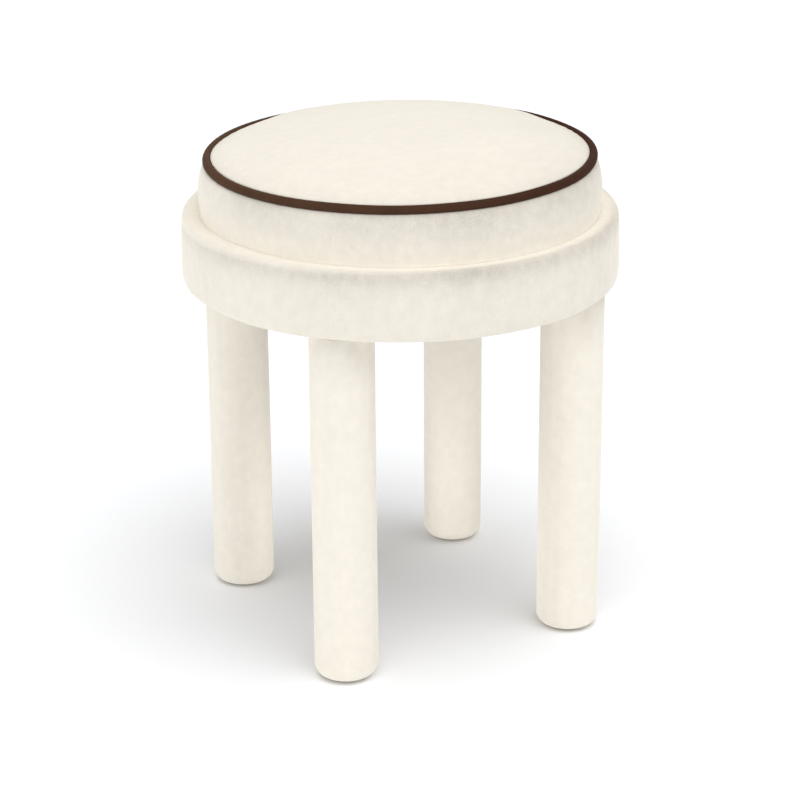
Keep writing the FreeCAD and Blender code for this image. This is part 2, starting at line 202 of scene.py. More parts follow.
def turned_mesh(name, loops, bearings, centre=(0.0, 0.0), threads=False, painted_shade=None):
    """An object made of closed loops of (radius, height) grids, turned about a vertical axis.

    Threads give it a map in metres along the turn and the loops, and the painted shade is a tone of shade
    for each point.
    """
    points, faces, thread_places = [], [], []
    first = 0
    for radius, height in loops:
        rows, columns = radius.shape
        x = centre[0] + radius * np.cos(bearings)
        y = centre[1] + radius * np.sin(bearings)
        points.append(np.stack([x, y, height], axis=-1).reshape(-1, 3))
        row, column = np.meshgrid(np.arange(rows), np.arange(columns), indexing="ij")
        next_row, next_column = (row + 1) % rows, (column + 1) % columns
        corners = [(row, column), (next_row, column), (next_row, next_column), (row, next_column)]
        faces.append(first + np.stack([r * columns + c for r, c in corners], axis=-1).reshape(-1, 4))
        turn = np.r_[bearings, bearings[0] + 2 * math.pi] * radius.max()
        out_step = np.diff(radius[:, 0], append=radius[0, 0])
        up_step = np.diff(height[:, 0], append=height[0, 0])
        run = np.r_[0.0, np.cumsum(np.hypot(out_step, up_step))]
        steps = [(row, column), (row + 1, column), (row + 1, column + 1), (row, column + 1)]
        places = [np.stack([turn[c], run[r]], axis=-1) for r, c in steps]
        thread_places.append(np.stack(places, axis=2).reshape(-1, 2))
        first += rows * columns
    mesh = bpy.data.meshes.new(name)
    mesh.from_pydata(np.concatenate(points).tolist(), [], np.concatenate(faces).tolist())
    if threads:
        layer = mesh.uv_layers.new(name="threads")
        layer.uv.foreach_set("vector", np.concatenate(thread_places).astype(np.float32).ravel())
    # A tone of painted shade for each point, which the velvet and the piping materials read as an attribute
    if painted_shade is not None:
        tone = mesh.attributes.new("painted_shade", "FLOAT", "POINT")
        tone.data.foreach_set("value", painted_shade.astype(np.float32).ravel())
    close_poles(mesh)
    mesh.polygons.foreach_set("use_smooth", np.ones(len(mesh.polygons), bool))
    piece = bpy.data.objects.new(name, mesh)
    bpy.context.scene.collection.objects.link(piece)
    return piece


def close_poles(mesh):
    """Rows of points on the axis become one point each."""
    work = bmesh.new()
    work.from_mesh(mesh)
    bmesh.ops.remove_doubles(work, verts=work.verts, dist=1e-7)
    work.to_mesh(mesh)
    work.free()


def skin(name, line, depth, bearings, swell=0.0, centre=(0.0, 0.0), tilt=False, painted_shade=None):
    """A closed skin of an even depth on the inner side of a line, moved out by the swell."""
    out = outward(line)
    swell = np.broadcast_to(swell, (len(line), len(bearings)))
    rows = np.r_[line, inset(line, depth)[::-1]]
    way = np.r_[out, out[::-1]]
    push = np.r_[swell, swell[::-1]]
    on_axis = rows[:, :1] < 1e-6
    radius = np.where(on_axis, 0.0, rows[:, :1] + push * way[:, :1])
    height = rows[:, 1:] + np.where(on_axis, push.mean(axis=1, keepdims=True), push) * way[:, 1:]
    if tilt:
        height = height + seat_tilt(radius, height, bearings)
    # The painted shade, for the outer and the inner rows of the skin
    brushed_and_painted_shade = None if painted_shade is None else np.r_[painted_shade, painted_shade[::-1]]
    return turned_mesh(name, [(radius, height)], bearings, centre, painted_shade=brushed_and_painted_shade)


def solid(name, loop, bearings, tilt=False):
    """A solid of the given outline, turned about the middle of the stool."""
    radius = np.repeat(loop[:, :1], len(bearings), axis=1)
    height = np.repeat(loop[:, 1:], len(bearings), axis=1)
    if tilt:
        height = height + seat_tilt(radius, height, bearings)
    return turned_mesh(name, [(radius, height)], bearings)


def seat_tilt(radius, height, bearings):
    """The cushion stands a little higher on one side, as hand-pulled covers do."""
    share = np.clip((height - drum_top) / (cord_height - drum_top), 0.0, 1.0)
    return share * seat_lift * radius / cord_ring * np.cos(bearings - seat_lift_bearing)


def filled_out(line, bearings, swell, slack, pinned):
    """The swell of a cover that is cut a little small and filled by its padding.

    A short cloth simulation of a coarser cover under air pressure, held at the pinned rows, says how the
    slack is taken up from place to place.
    """
    rows, columns, kept_waves = 26, 90, 16
    moments = 20
    smooth_passes = 4
    chosen = np.linspace(0, len(line) - 1, rows).round().astype(int)
    round_about = np.linspace(0.0, 2 * math.pi, columns, endpoint=False)
    coarse_swell = np.array(
        [np.interp(round_about, bearings, row, period=2 * math.pi) for row in swell[chosen]]
    )
    out = outward(line)[chosen]
    held_rows = pinned[chosen]
    small = coarse_swell - slack * np.where(held_rows, 0.0, 1.0)[:, None]
    radius = np.maximum(line[chosen, :1] + small * out[:, :1], 0.3 * MM)
    height = line[chosen, 1:] + small * out[:, 1:]
    x, y = radius * np.cos(round_about), radius * np.sin(round_about)
    row, column = np.meshgrid(np.arange(rows - 1), np.arange(columns), indexing="ij")
    after = (column + 1) % columns
    corners = [(row, column), (row + 1, column), (row + 1, after), (row, after)]
    faces = np.stack([r * columns + c for r, c in corners], axis=-1).reshape(-1, 4)
    mesh = bpy.data.meshes.new("cover_under_air")
    mesh.from_pydata(np.stack([x, y, height], axis=-1).reshape(-1, 3).tolist(), [], faces.tolist())
    cover = bpy.data.objects.new("cover_under_air", mesh)
    bpy.context.scene.collection.objects.link(cover)
    held = cover.vertex_groups.new(name="held")
    held.add(np.flatnonzero(np.repeat(held_rows, columns)).tolist(), 1.0, "REPLACE")
    cloth = cover.modifiers.new("air", "CLOTH")
    cloth.settings.vertex_group_mass = "held"
    cloth.settings.use_pressure = True
    cloth.settings.uniform_pressure_force = 4.0
    cloth.settings.effector_weights.gravity = 0.0
    cloth.settings.quality = 4
    cloth.settings.tension_stiffness = 40.0
    cloth.settings.compression_stiffness = 40.0
    cloth.settings.shear_stiffness = 15.0
    cloth.settings.bending_stiffness = 2.0
    cloth.settings.air_damping = 4.0
    cloth.point_cache.frame_start = 1
    cloth.point_cache.frame_end = moments
    for moment in range(1, moments + 1):
        bpy.context.scene.frame_set(moment)
    settled = cover.evaluated_get(bpy.context.evaluated_depsgraph_get()).data
    places = np.zeros(len(mesh.vertices) * 3, np.float32)
    settled.vertices.foreach_get("co", places)
    bpy.context.scene.frame_set(1)
    bpy.data.objects.remove(cover)
    places = places.reshape(rows, columns, 3).astype(float)
    moved_out = np.hypot(places[..., 0], places[..., 1]) - radius
    moved = moved_out * out[:, :1] + (places[..., 2] - height) * out[:, 1:]
    taken_up = np.clip(moved * slack / max(moved[~held_rows].mean(), 1e-9), 0.0, 2.0 * slack)
    change = np.where(held_rows[:, None], 0.0, taken_up - slack)
    waves = np.fft.rfft(change, axis=1)[:, :kept_waves] / columns
    turns = np.exp(1j * np.arange(kept_waves)[:, None] * bearings[None, :])
    weights = np.r_[1.0, np.full(kept_waves - 1, 2.0)]
    fine = ((waves * weights) @ turns).real
    spread = np.array([np.interp(np.arange(len(line)), chosen, column) for column in fine.T]).T
    for _ in range(smooth_passes):
        padded = np.pad(spread, ((1, 1), (0, 0)), mode="edge")
        spread = 0.25 * padded[:-2] + 0.5 * padded[1:-1] + 0.25 * padded[2:]
    return swell + np.where(pinned[:, None], 0.0, spread)


# Materials: patterns from each piece's own place in the frame, in metres

class Look:
    """A material made node by node round one shader."""

    def __init__(self, name, **values):
        self.material = bpy.data.materials.new(name)
        self.material.use_nodes = True
        self.tree = self.material.node_tree
        self.shader = self.tree.nodes["Principled BSDF"]
        for key, value in values.items():
            self.shader.inputs[key.replace("_", " ")].default_value = value
        self.place = self.node("ShaderNodeTexCoord").outputs["Object"]

    def node(self, kind, inputs=(), **settings):
        made = self.tree.nodes.new(kind)
        for key, value in settings.items():
            setattr(made, key, value)
        for key, value in dict(inputs).items():
            if isinstance(value, bpy.types.NodeSocket):
                self.tree.links.new(value, made.inputs[key])
            else:
                made.inputs[key].default_value = value
        return made

    def threads(self):
        return self.node("ShaderNodeUVMap", uv_map="threads").outputs["UV"]

    def stretched(self, place, scale, turn=0.0):
        made = self.node("ShaderNodeMapping", {"Vector": place, "Scale": scale})
        made.inputs["Rotation"].default_value = (0.0, 0.0, turn)
        return made.outputs["Vector"]

    def noise(self, place, scale, detail=2.0, roughness=0.5):
        values = {"Vector": place, "Scale": scale, "Detail": detail, "Roughness": roughness}
        return self.node("ShaderNodeTexNoise", values).outputs["Fac"]

    def wave(self, place, scale, distortion=0.0, direction="X"):
        values = {"Vector": place, "Scale": scale, "Distortion": distortion}
        made = self.node("ShaderNodeTexWave", values, bands_direction=direction)
        return made.outputs["Fac"]

    def math(self, operation, first, second=0.0):
        return self.node("ShaderNodeMath", {0: first, 1: second}, operation=operation).outputs[0]

    def blend(self, *parts):
        """A weighted sum of (weight, value) parts."""
        total = None
        for weight, value in parts:
            part = self.math("MULTIPLY", value, weight)
            total = part if total is None else self.math("ADD", total, part)
        return total

    def spread(self, value, low, high, to_low=0.0, to_high=1.0):
        values = {"Value": value, "From Min": low, "From Max": high, "To Min": to_low, "To Max": to_high}
        return self.node("ShaderNodeMapRange", values).outputs["Result"]

    def colours(self, value, dark, light):
        made = self.node("ShaderNodeMix", {"Factor": value}, data_type="RGBA")
        made.inputs[6].default_value = (*dark, 1.0)
        made.inputs[7].default_value = (*light, 1.0)
        return made.outputs[2]

    def mixed(self, value, first, second):
        made = self.node("ShaderNodeMix", {"Factor": value}, data_type="RGBA", clamp_factor=False)
        self.tree.links.new(first, made.inputs[6])
        made.inputs[7].default_value = (*second, 1.0)
        return made.outputs[2]

    def finish(self, colour, height, strength, distance, roughness=None):
        self.tree.links.new(colour, self.shader.inputs["Base Color"])
        values = {"Height": height, "Strength": strength, "Distance": distance}
        bump = self.node("ShaderNodeBump", values)
        self.tree.links.new(bump.outputs["Normal"], self.shader.inputs["Normal"])
        if roughness is not None:
            self.tree.links.new(roughness, self.shader.inputs["Roughness"])
        return self.material


def linear(*srgb):
    """A colour given as 0 to 255, as the shader wants it."""
    return tuple((c / 255 / 12.92) if c <= 10 else ((c / 255 + 0.055) / 1.055) ** 2.4 for c in srgb)


def velvet_look():
    """Short cream pile, brushed in soft patches, with painted shade drawn from each piece's tone, and a
    little painted light where that tone is below zero.
    """
    look = Look("cream_velvet", Specular_IOR_Level=0.08, Sheen_Weight=0.5, Sheen_Roughness=0.5)
    look.shader.inputs["Sheen Tint"].default_value = (*linear(255, 250, 240), 1.0)
    brushed_and_painted_shade = look.stretched(look.place, (1.0, 1.0, 0.85))
    patches = look.noise(brushed_and_painted_shade, 105.0, 3.0, 0.55)
    drift = look.noise(look.place, 17.0, 2.0)
    grain = look.noise(look.place, 760.0, 2.0, 0.6)
    pile = look.blend((0.5, patches), (0.2, drift), (0.3, grain))
    shade = look.spread(pile, 0.3, 0.7)
    even = look.colours(shade, linear(230, 224, 212), linear(240, 234, 222))
    # Painted shade: each piece's tone, broken up by the pile's patches, mixes the cream towards a darker
    # shade colour; below zero it mixes the other way, as painted light
    painted_shade_amount = look.node("ShaderNodeAttribute", attribute_name="painted_shade").outputs["Fac"]
    broken = look.spread(look.blend((0.45, patches), (0.55, grain)), 0.3, 0.7, 1.4, 0.6)
    colour = look.mixed(look.math("MULTIPLY", painted_shade_amount, broken), even, linear(206, 200, 189))
    fibres = look.noise(look.place, 1500.0, 2.0, 0.7)
    height = look.blend((0.75, fibres), (0.25, grain))
    rough = look.spread(patches, 0.3, 0.7, 0.82, 0.96)
    return look.finish(colour, height, 0.22, 0.35 * MM, rough)


def piping_look():
    """Dark brown twill cut on the bias, with painted shade making it darker on one side of the stool."""
    look = Look("brown_twill", Specular_IOR_Level=0.05, Sheen_Weight=0.03, Sheen_Roughness=0.35)
    look.shader.inputs["Sheen Tint"].default_value = (*linear(190, 160, 140), 1.0)
    threads = look.stretched(look.threads(), (1.0, 1.0, 1.0), math.radians(38.0))
    ribs = look.wave(threads, 290.0, 0.6)
    cross = look.wave(threads, 420.0, 0.8, "Y")
    fibre = look.noise(look.place, 1300.0, 2.0, 0.6)
    wear = look.noise(look.place, 46.0, 3.0, 0.6)
    weave = look.blend((0.38, ribs), (0.17, cross), (0.2, fibre), (0.25, wear))
    even = look.colours(look.spread(weave, 0.2, 0.8), linear(36, 18, 8), linear(104, 78, 60))
    # Painted shade: the piping's tone darkens it towards one side of the stool
    one_side = look.node("ShaderNodeAttribute", attribute_name="painted_shade").outputs["Fac"]
    colour = look.mixed(one_side, even, linear(45, 14, 5))
    height = look.blend((0.6, ribs), (0.2, cross), (0.2, fibre))
    rough = look.spread(wear, 0.3, 0.7, 0.7, 0.88)
    return look.finish(colour, height, 0.4, 0.25 * MM, rough)


def dust_cloth_look():
    """Thin black felted cloth."""
    look = Look("black_dust_cloth", Specular_IOR_Level=0.2, Sheen_Weight=0.15)
    warp = look.wave(look.place, 210.0, 1.2)
    weft = look.wave(look.place, 210.0, 1.2, "Y")
    fluff = look.noise(look.place, 420.0, 3.0, 0.65)
    dusty = look.noise(look.place, 22.0, 3.0, 0.6)
    weave = look.blend((0.2, warp), (0.2, weft), (0.35, fluff), (0.25, dusty))
    colour = look.colours(look.spread(weave, 0.25, 0.75), linear(24, 24, 25), linear(52, 51, 50))
    return look.finish(colour, weave, 0.5, 0.3 * MM, look.spread(fluff, 0.3, 0.7, 0.85, 0.97))


def wood_look(name, dark, light, grain_scale, plies=False):
    """Bare wood with its grain, and its plies where it is plywood."""
    look = Look(name, Specular_IOR_Level=0.3)
    figure = look.noise(look.stretched(look.place, grain_scale), 9.0, 4.0, 0.6)
    pores = look.noise(look.stretched(look.place, tuple(6 * s for s in grain_scale)), 30.0, 2.0, 0.6)
    tone = look.blend((0.65, figure), (0.35, pores))
    if plies:
        tone = look.blend((0.6, tone), (0.4, look.wave(look.place, 112.0, 0.3, "Z")))
    colour = look.colours(look.spread(tone, 0.3, 0.7), linear(*dark), linear(*light))
    return look.finish(colour, pores, 0.25, 0.2 * MM, look.spread(figure, 0.3, 0.7, 0.55, 0.72))


def soft_look(name, dark, light, scale, stretch):
    """Foam cells or loose fibres."""
    look = Look(name, Specular_IOR_Level=0.1, Roughness=0.95, Sheen_Weight=0.1)
    cells = look.noise(look.stretched(look.place, stretch), scale, 3.0, 0.65)
    clouds = look.noise(look.place, 25.0, 2.0)
    tone = look.blend((0.7, cells), (0.3, clouds))
    colour = look.colours(look.spread(tone, 0.3, 0.7), linear(*dark), linear(*light))
    return look.finish(colour, cells, 0.5, 0.5 * MM)


def hard_look(name, dark, light, metal, roughness, scale):
    """Moulded plastic or plated steel, with a little wear."""
    look = Look(name, Metallic=metal)
    speckle = look.noise(look.place, scale, 3.0, 0.6)
    scuffs = look.noise(look.stretched(look.place, (1.0, 6.0, 1.0)), scale / 5, 4.0, 0.65)
    tone = look.blend((0.5, speckle), (0.5, scuffs))
    colour = look.colours(look.spread(tone, 0.3, 0.7), linear(*dark), linear(*light))
    return look.finish(colour, speckle, 0.12, 0.1 * MM, look.spread(scuffs, 0.3, 0.7, *roughness))


looks = {
    "velvet_cream": velvet_look(),
    "piping_brown": piping_look(),
    "cord_cotton": soft_look("cotton_cord", (214, 204, 184), (236, 229, 214), 600.0, (1.0, 1.0, 0.4)),
    "wadding_white": soft_look("white_wadding", (226, 226, 222), (246, 246, 243), 300.0, (1.0, 1.0, 0.3)),
    "foam_cream": soft_look("cream_foam", (222, 208, 172), (243, 233, 205), 520.0, (1.0, 1.0, 1.0)),
    "plywood_birch": wood_look(
        "birch_plywood", (188, 153, 112), (226, 199, 160), (1.0, 9.0, 9.0), plies=True,
    ),
    "block_pine": wood_look("pine", (196, 155, 102), (229, 196, 148), (9.0, 9.0, 1.0)),
    "leg_beech": wood_look("beech", (178, 130, 92), (211, 168, 128), (9.0, 9.0, 1.0)),
    "dust_cloth_black": dust_cloth_look(),
    "glide_black": hard_look("black_plastic", (20, 20, 21), (42, 42, 43), 0.0, (0.38, 0.6), 900.0),
    "steel_zinc": hard_look("zinc_steel", (150, 153, 158), (205, 207, 210), 1.0, (0.28, 0.5), 500.0),
    "steel_staple": hard_look("staple_steel", (140, 141, 143), (190, 191, 193), 1.0, (0.3, 0.48), 700.0),
}

cad_slots = {
    "leg_core": "leg_beech",
    "leg_glide": "glide_black",
    "hanger_bolts": "steel_zinc",
    "tee_nuts": "steel_zinc",
    "glide_screws": "steel_zinc",
    "frame_screws": "steel_zinc",
    "seat_screws": "steel_zinc",
    "leg_staples": "steel_staple",
    "drum_top_staples": "steel_staple",
    "drum_bottom_staples": "steel_staple",
    "dust_cover_staples": "steel_staple",
    "seat_staples": "steel_staple",
    "base_ring": "plywood_birch",
    "top_board": "plywood_birch",
    "seat_board": "plywood_birch",
    "rim_hoop": "plywood_birch",
    "spacer_block": "block_pine",
}
for node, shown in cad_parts.items():
    for start, slot_name in cad_slots.items():
        if node.startswith(start):
            shown.data.materials.clear()
            shown.data.materials.append(looks[slot_name])


def placed(piece, slot_name, *nodes):
    """Gives a piece its finish and sets it in place of its CAD nodes."""
    piece.data.materials.append(looks[slot_name])
    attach(piece, "root")
    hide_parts(*nodes)
    return piece


# Cushion: a crowned top panel and a bulging band, sewn to the piping between them

round_turn = bearings_round(360, cord_ring)
seat_turn = bearings_round(360, cord_ring, seam_bearing)
filling_slack = 0.8 * MM
sewn_edge = 0.5 * MM
groove_depth = 0.8 * MM
edge_gathers = 74
crown_rise = crown_top - cord_height + 0.6 * MM
crown_foot = cord_height - 2.0 * MM
crown_edge = cord_ring - 3.5 * MM
crown_flatness, crown_roundness = 3.4, 0.6
crown_middle = 0.12
crown_radii = np.r_[np.linspace(0.0, crown_middle, 31), np.linspace(crown_middle, crown_edge, 40)[1:]]
crown_shares = (1 - (crown_radii / cord_ring) ** crown_flatness) ** crown_roundness
crown_line = np.c_[crown_radii, crown_foot + crown_rise * crown_shares]
crown_away = lengths(crown_line)[-1] - lengths(crown_line)
off_edge = np.clip(crown_away / 0.03, 0, 1)[:, None]
off_middle = np.clip(crown_radii / 0.05, 0, 1)[:, None]
crown_swell = 0.35 * MM * unevenness(crown_line, round_turn, seed=3, lobes=6, reach=0.25) * off_edge
crown_swell *= off_middle
crown_swell += 0.16 * MM * puckers(crown_away, round_turn, seed=5, count=edge_gathers, reach=0.009)

# The crown's edge is fuller at the back, where it hides the piping, and flatter beside that
fuller_place, fuller_width = 0.94, 0.06
off_fuller = np.degrees(np.abs(np.angle(np.exp(1j * (round_turn - fuller_bearing)))))
fuller = np.interp(off_fuller, (0, 26, 40, 46, 53, 72, 95), (0.2, 0.5, 1.0, 0.5, -0.7, -0.9, 0.0)) * MM
near_edge = np.exp(-((crown_radii / cord_ring - fuller_place) / fuller_width) ** 2)[:, None]
crown_swell += near_edge * fuller
crown_swell = filled_out(crown_line, round_turn, crown_swell, filling_slack, crown_away < sewn_edge)
# Painted shade on the crown, growing darker towards the piping at its edge
crown_painted_shade = painted_shade_tone(crown_line, round_turn, crown_radii[:, None], (0.10, 0.0), (0.15, 0.15), (0.171, 0.35))
top_velvet = placed(
    skin("velvet_top", crown_line, velvet_depth, round_turn, crown_swell, tilt=True, painted_shade=crown_painted_shade),
    "velvet_cream", "seat_top_panel",
)

# The band, from the seam under the piping down to the crease and in to its hem under the board:
# millimetres inside the drum's side and above its top
band_shape = [
    (22.7, 46.2), (21.6, 44.4), (19.9, 41.0), (17.8, 34.5), (16.5, 26.5), (15.8, 19.5), (16.2, 13.5),
    (16.9, 8.2), (17.3, 5.0), (17.2, 2.8), (16.7, 1.5), (16.4, 0.9), (16.6, 0.4), (17.8, 0.1), (50.0, 0.1),
]
crease_height = 3.0 * MM
board_hold = 1.0 * MM
band_line = smooth_line([(drum_radius - d * MM, drum_top + h * MM) for d, h in band_shape], 1.0 * MM)
band_above = band_line[:, 1:] - drum_top
band_away = lengths(band_line)
off_seam = np.clip(band_away / 0.012, 0, 1)[:, None]
band_swell = 0.4 * MM * unevenness(band_line, seat_turn, seed=11, lobes=9, reach=0.12) * off_seam
band_swell += 0.2 * MM * puckers(band_away, seat_turn, seed=7, count=edge_gathers, reach=0.01)
band_swell += seam_groove(seat_turn, cord_ring, groove_depth)
band_swell *= np.clip(band_above / crease_height, 0, 1)
band_held = (band_away < sewn_edge) | (band_line[:, 1] < drum_top + board_hold)
band_swell = filled_out(band_line, seat_turn, band_swell, filling_slack, band_held)
# Painted shade on the band, darkest up under the piping and fading down to the crease, where it is painted
# a little lighter
band_painted_shade = painted_shade_tone(
    band_line, seat_turn, band_above,
    (0.5 * MM, -0.05), (3 * MM, 0.0), (8 * MM, 0.15), (14 * MM, 0.28), (24 * MM, 0.58), (38 * MM, 0.95),
    (46 * MM, 1.0),
)
band_velvet = placed(
    skin("velvet_band", band_line, velvet_depth, seat_turn, band_swell, tilt=True, painted_shade=band_painted_shade),
    "velvet_cream", "seat_side_band",
)

# The soft layers under the velvet, which stop short of the piping and its flange
wadding_below_cord, wadding_inside_cord = 8.0 * MM, 12.0 * MM
foam_below_cord, foam_inside_cord = 9.0 * MM, 14.0 * MM
wadding_above_board = 3.0 * MM
crown_padding = inset(crown_line, velvet_depth + layer_gap)
band_padding = inset(band_line, velvet_depth + layer_gap)
crown_core = inset(crown_padding, seat_wadding_depth + layer_gap)
band_core = inset(band_padding, seat_wadding_depth + layer_gap)
low_enough = band_padding[:, 1] < cord_height - wadding_below_cord
high_enough = band_padding[:, 1] > board_low.z + wadding_above_board
crown_layer = crown_padding[crown_line[:, 0] < cord_ring - wadding_inside_cord]
band_layer = band_padding[low_enough & high_enough & (band_line[:, 0] > board_high.x)]
wadding_top = placed(
    skin("wadding_top", crown_layer, seat_wadding_depth, round_turn, tilt=True),
    "wadding_white", "seat_top_wadding",
)
wadding_band = placed(
    skin("wadding_band", band_layer, seat_wadding_depth, round_turn, tilt=True),
    "wadding_white", "seat_side_wadding",
)
core_side = band_core[(band_core[:, 1] < cord_height - foam_below_cord) & (band_core[:, 1] > board_high.z)]
core_crown = crown_core[crown_line[:, 0] < cord_ring - foam_inside_cord]
core_bottom = [(core_side[-1, 0], board_high.z), (0.0, board_high.z)]
foam_seat = placed(
    solid("foam_seat", np.r_[core_crown, core_side, core_bottom], round_turn, tilt=True),
    "foam_cream", "seat_foam",
)

# Piping: a cloth tube round a cord, with its sewing flange pointing into the cushion
flange_degrees = 222.5
seam_allowance = 8.0 * MM
flange_way = math.radians(flange_degrees)
flange_out = np.array([math.cos(flange_way), math.sin(flange_way)])
flange_up = np.array([-flange_out[1], flange_out[0]])
pipe_centre = np.array([cord_ring, cord_height])
mouth = math.degrees(math.asin(pipe_depth / pipe_radius))
tube = arc(cord_ring, cord_height, pipe_radius, flange_degrees - mouth, flange_degrees + mouth - 360, 40)
flange_tip = pipe_centre + flange_out * (pipe_radius + seam_allowance)
flange = np.array([flange_tip + flange_up * pipe_depth, flange_tip - flange_up * pipe_depth])
tube_loop = np.r_[tube, flange]
room_loop = arc(cord_ring, cord_height, cord_radius + layer_gap, 0, 360, 33)[:-1]
pipe_turn = bearings_round(720, cord_ring)
thickness = 0.07 * MM * puckers(np.zeros(1), pipe_turn, seed=13, count=120, reach=1.0)[0]
wander = 0.25 * MM * unevenness(np.zeros((1, 2)), pipe_turn, seed=17, lobes=14, reach=1.0)[0]


def piping_grid(loop, swell):
    """The loop at every bearing, a little fatter or thinner and up or down."""
    way = loop - pipe_centre
    way = way / np.linalg.norm(way, axis=1)[:, None]
    radius = loop[:, :1] + way[:, :1] * swell
    height = loop[:, 1:] + way[:, 1:] * swell + wander
    return radius, height + seat_tilt(radius, height, pipe_turn)


# Painted shade along the piping, darkest on one side of the stool
piping_painted_shade = 0.4 + 0.32 * np.cos(pipe_turn - piping_darker_bearing)
piping = turned_mesh(
    "piping_twill", [piping_grid(tube_loop, thickness), piping_grid(room_loop, 0 * thickness)], pipe_turn,
    threads=True, painted_shade=np.tile(piping_painted_shade, (len(tube_loop) + len(room_loop), 1)),
)
placed(piping, "piping_brown", "piping_cover")
cord_loop = arc(cord_ring, cord_height, cord_radius, 360, 0, 25)[:-1]
cord_core = turned_mesh("cord_core", [piping_grid(cord_loop, 0 * thickness)], pipe_turn)
placed(cord_core, "cord_cotton", "piping_cord")

# Drum: one cover from its hem under the cushion, over the ledge and down to its hem under the drum.
# The shape is in millimetres inside the drum's side and below its top.
drum_shape = [
    (22.0, 0.1), (19.0, 0.1), (15.0, 0.05), (11.0, 0.0), (7.5, 0.0), (4.6, 0.15), (2.6, 0.7), (1.2, 1.9),
    (0.2, 3.9), (-0.4, 7.0), (-0.7, 12.0), (-1.0, 22.0), (-1.3, 32.0), (-1.4, 40.0), (-1.4, 47.0),
    (-1.3, 53.5), (-0.8, 57.8), (0.2, 60.6), (1.9, 62.2), (4.4, 62.9), (8.0, 63.0), (14.0, 63.0),
]
drum_hem_top = drum_radius - 50 * MM
drum_hem_bottom = 0.118
crease_radius = drum_radius - 20 * MM
drum_turn = bearings_round(360, drum_radius, seam_bearing)
drum_outside = smooth_line([(drum_radius - d * MM, drum_top - h * MM) for d, h in drum_shape], 1.0 * MM)
drum_line = joined(
    straight((drum_hem_top, drum_top), drum_outside[0], 2.0 * MM),
    drum_outside,
    straight((drum_outside[-1, 0], drum_bottom), (drum_hem_bottom, drum_bottom), 2.0 * MM),
)
drum_away = lengths(drum_line)
drum_side = np.clip((drum_line[:, 0] - drum_radius + 12 * MM) / (10 * MM), 0, 1)[:, None]
drum_swell = 0.4 * MM * drum_side * unevenness(drum_line, drum_turn, seed=23, lobes=10, reach=0.16)
drum_swell += drum_side * seam_groove(drum_turn, drum_radius, groove_depth)
crease_row = np.argmin(np.hypot(drum_line[:, 0] - crease_radius, drum_line[:, 1] - drum_top))
off_crease = np.abs(drum_away - drum_away[crease_row])
past_crease = (drum_line[:, 0] > crease_radius)[:, None]
drum_swell += 0.12 * MM * puckers(off_crease, drum_turn, seed=29, count=66, reach=0.008) * past_crease
drum_held = drum_line[:, 0] < crease_radius
drum_swell = filled_out(drum_line, drum_turn, drum_swell, filling_slack, drum_held)

# Under the drum the cover is drawn in and gathered towards its staples
under = np.clip((drum_radius - 4 * MM - drum_line[:, 0]) / (15 * MM), 0, 1)
under = np.where(drum_line[:, 1] < drum_bottom + 5 * MM, under, 0.0)[:, None]
gathers = puckers(np.zeros(len(drum_line)), drum_turn, seed=31, count=88, reach=1.0)
drum_swell = drum_swell + 0.25 * MM * under * (gathers - 1.0)

# Painted shade runs from the ledge down the side, darkest just below the ledge's edge, and begins further
# in on the darker side
rim = 5 * MM
darker_reach = 5 * MM
on_ledge = drum_line[:, 1] > drum_top - rim
ledge_inward = np.where(on_ledge, np.maximum(drum_radius - rim - drum_line[:, 0], 0.0), 0.0)
darker_shift = darker_reach * (np.cos(drum_turn - darker_bearing) - 0.65)
drum_painted_shade = painted_shade_tone(
    drum_line, drum_turn, (drum_top - drum_line[:, 1] - ledge_inward)[:, None] + darker_shift,
    (-15 * MM, 0.05), (-7 * MM, 0.15), (-3 * MM, 0.35), (0.5 * MM, 0.8), (1.6 * MM, 1.1), (4 * MM, 1.05),
    (8 * MM, 0.85), (15 * MM, 0.52), (25 * MM, 0.36), (45 * MM, 0.31),
)
drum_velvet = placed(
    skin("velvet_drum", drum_line, velvet_depth, drum_turn, drum_swell, painted_shade=drum_painted_shade),
    "velvet_cream", "drum_cover",
)
drum_padding = inset(drum_line, velvet_depth + layer_gap)
hoop_face = hoop_outside + layer_gap
wrap = drum_padding[drum_padding[:, 0] > hoop_face]
wrap_back = [(hoop_face, wrap[-1, 1]), (hoop_face, wrap[0, 1])]
foam_drum = placed(solid("foam_drum", np.r_[wrap, wrap_back], round_turn), "foam_cream", "drum_foam")

